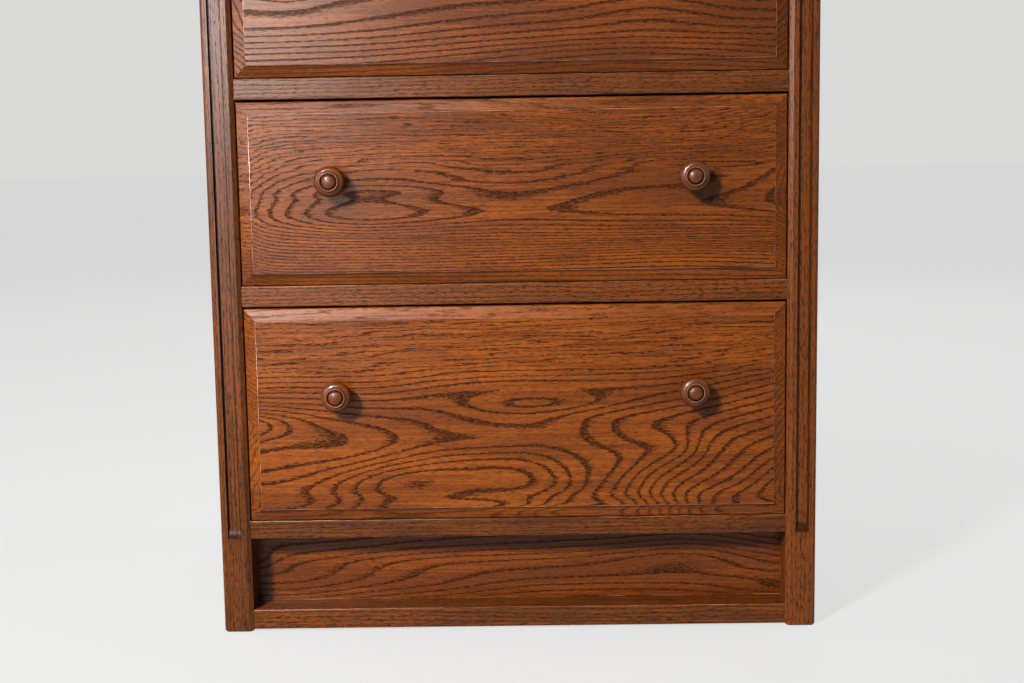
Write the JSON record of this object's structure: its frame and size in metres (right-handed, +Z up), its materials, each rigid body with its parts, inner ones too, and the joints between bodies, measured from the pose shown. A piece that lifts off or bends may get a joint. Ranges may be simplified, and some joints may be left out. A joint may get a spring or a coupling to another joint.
{
  "type": "chest of drawers",
  "caption": "Tall stained-oak chest of graduated drawers with fielded fronts, turned wooden knobs, channelled corner posts and a recessed plinth; the drawers slide out.",
  "frame": {"origin": "on the floor under the middle of the chest's outer box, knobs included", "axes": "+X to the right as seen from the front, the drawers open towards -Y, +Z up"},
  "size_m": [0.604, 0.4584, 1.0405],
  "materials": {
    "oak_frame": "oak stained dark reddish brown, satin lacquer, worn arrises",
    "oak_front": "flat-sawn oak stained reddish brown with dark grain, satin lacquer",
    "oak_panel": "flat-sawn oak stained reddish brown, satin lacquer",
    "oak_top": "oak stained dark reddish brown, satin lacquer",
    "turned_oak": "turned, stained dark reddish brown, glossy lacquer",
    "plain_wood": "plain pale wood, planed and unfinished",
    "plywood": "thin plywood, sanded and unfinished"
  },
  "bodies": {
    "carcase": {"front_post_left": "oak_frame", "front_post_right": "oak_frame", "rear_post_left": "oak_frame", "rear_post_right": "oak_frame", "side_top_rail_left": "oak_frame", "side_top_rail_right": "oak_frame", "side_bottom_rail_left": "oak_frame", "side_bottom_rail_right": "oak_frame", "side_panel_left": "oak_panel", "side_panel_right": "oak_panel", "top_board": "oak_top", "top_rail": "oak_frame", "drawer_rail_1": "oak_frame", "drawer_rail_2": "oak_frame", "drawer_rail_3": "oak_frame", "drawer_rail_4": "oak_frame", "bottom_rail": "oak_frame", "plinth_rail": "oak_frame", "plinth_panel": "oak_panel", "back_top_rail": "plain_wood", "back_bottom_rail": "plain_wood", "back_panel": "plywood", "dust_panel": "plywood", "drawer_runners_1": "plain_wood", "drawer_runners_2": "plain_wood", "drawer_runners_3": "plain_wood", "drawer_runners_4": "plain_wood", "drawer_runners_5": "plain_wood", "drawer_kickers": "plain_wood", "drawer_stops": "plain_wood"},
    "drawer_1": {"drawer_1_front": "oak_front", "drawer_1_left_side": "plain_wood", "drawer_1_right_side": "plain_wood", "drawer_1_back": "plain_wood", "drawer_1_bottom": "plywood", "drawer_1_knobs": "turned_oak"},
    "drawer_2": {"drawer_2_front": "oak_front", "drawer_2_left_side": "plain_wood", "drawer_2_right_side": "plain_wood", "drawer_2_back": "plain_wood", "drawer_2_bottom": "plywood", "drawer_2_knobs": "turned_oak"},
    "drawer_3": {"drawer_3_front": "oak_front", "drawer_3_left_side": "plain_wood", "drawer_3_right_side": "plain_wood", "drawer_3_back": "plain_wood", "drawer_3_bottom": "plywood", "drawer_3_knobs": "turned_oak"},
    "drawer_4": {"drawer_4_front": "oak_front", "drawer_4_left_side": "plain_wood", "drawer_4_right_side": "plain_wood", "drawer_4_back": "plain_wood", "drawer_4_bottom": "plywood", "drawer_4_knobs": "turned_oak"},
    "drawer_5": {"drawer_5_front": "oak_front", "drawer_5_left_side": "plain_wood", "drawer_5_right_side": "plain_wood", "drawer_5_back": "plain_wood", "drawer_5_bottom": "plywood", "drawer_5_knobs": "turned_oak"}
  },
  "joints": [
    {"name": "drawer_1_slide", "type": "slide", "parent": "carcase", "child": "drawer_1", "axis": [0, -1, 0], "range_m": [0, 0.28]},
    {"name": "drawer_2_slide", "type": "slide", "parent": "carcase", "child": "drawer_2", "axis": [0, -1, 0], "range_m": [0, 0.28]},
    {"name": "drawer_3_slide", "type": "slide", "parent": "carcase", "child": "drawer_3", "axis": [0, -1, 0], "range_m": [0, 0.28]},
    {"name": "drawer_4_slide", "type": "slide", "parent": "carcase", "child": "drawer_4", "axis": [0, -1, 0], "range_m": [0, 0.28]},
    {"name": "drawer_5_slide", "type": "slide", "parent": "carcase", "child": "drawer_5", "axis": [0, -1, 0], "range_m": [0, 0.28]}
  ]
}
